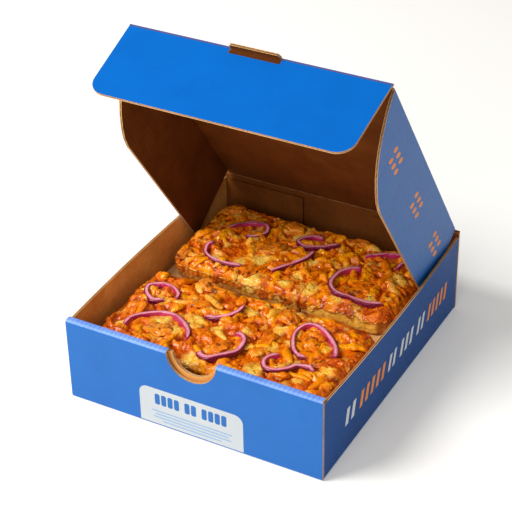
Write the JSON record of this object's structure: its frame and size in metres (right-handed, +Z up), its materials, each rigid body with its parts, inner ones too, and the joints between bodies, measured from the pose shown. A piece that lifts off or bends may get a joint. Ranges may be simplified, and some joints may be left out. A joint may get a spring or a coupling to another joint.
{
  "type": "pizza in a takeaway box",
  "caption": "Rectangular chicken and red onion pizza, cut into slices, in an open corrugated box with a hinged lid and tuck flap.",
  "frame": {"origin": "middle of the underside of the box, on the surface it stands on", "axes": "+Z up, the front of the box with the thumb notch faces -Y, the lid folds at +Y, X runs from left to right"},
  "size_m": [0.216, 0.2388, 0.2666],
  "materials": {
    "printed_board": "matte",
    "kraft_board": "matte",
    "insert_card": "matte",
    "dough": "matte",
    "cheese": "satin",
    "sauced_chicken": "satin",
    "red_onion": "gloss"
  },
  "bodies": {
    "tray": {"box_floor": "kraft_board", "front_panel": "printed_board", "front_inner_panel": "kraft_board", "front_fold_left": "printed_board", "front_fold_right": "printed_board", "side_wall_left": "printed_board", "side_wall_right": "printed_board", "back_wall": "printed_board", "dust_flap_left": "kraft_board", "dust_flap_right": "kraft_board", "insert_panel": "insert_card", "insert_leg_left": "insert_card", "insert_leg_right": "insert_card", "dough_back_left": "dough", "dough_back_right": "dough", "dough_front_left": "dough", "dough_front_right": "dough", "cheese_back_left": "cheese", "cheese_back_right": "cheese", "cheese_front_left": "cheese", "cheese_front_right": "cheese", "topping_back_left": "sauced_chicken", "topping_back_right": "sauced_chicken", "topping_front_left": "sauced_chicken", "topping_front_right": "sauced_chicken", "chicken_01": "sauced_chicken", "chicken_02": "sauced_chicken", "chicken_03": "sauced_chicken", "chicken_04": "sauced_chicken", "chicken_05": "sauced_chicken", "chicken_06": "sauced_chicken", "chicken_07": "sauced_chicken", "chicken_08": "sauced_chicken", "chicken_09": "sauced_chicken", "chicken_10": "sauced_chicken", "chicken_11": "sauced_chicken", "chicken_12": "sauced_chicken", "chicken_13": "sauced_chicken", "chicken_14": "sauced_chicken", "chicken_15": "sauced_chicken", "chicken_16": "sauced_chicken", "onion_front_a": "red_onion", "onion_front_b": "red_onion", "onion_front_c": "red_onion", "onion_front_d": "red_onion", "onion_front_e": "red_onion", "onion_front_f": "red_onion", "onion_back_a": "red_onion", "onion_back_b": "red_onion", "onion_back_c": "red_onion", "onion_back_d": "red_onion", "onion_back_e": "red_onion", "onion_back_f": "red_onion", "onion_back_g": "red_onion"},
    "lid": {"lid_panel": "printed_board", "lid_ear_left": "printed_board", "lid_ear_right": "printed_board"},
    "flap": {"front_flap": "printed_board"}
  },
  "joints": [
    {"name": "lid_fold", "type": "hinge", "parent": "tray", "child": "lid", "pos_m": [0, 0.11845, 0.072], "axis": [-1, 0, 0], "range_deg": [-48.1, 124.9]},
    {"name": "flap_fold", "type": "hinge", "parent": "lid", "child": "flap", "pos_m": [0, -0.01343, 0.26105], "axis": [1, 0, 0], "range_deg": [-55.2, 24.8]}
  ]
}
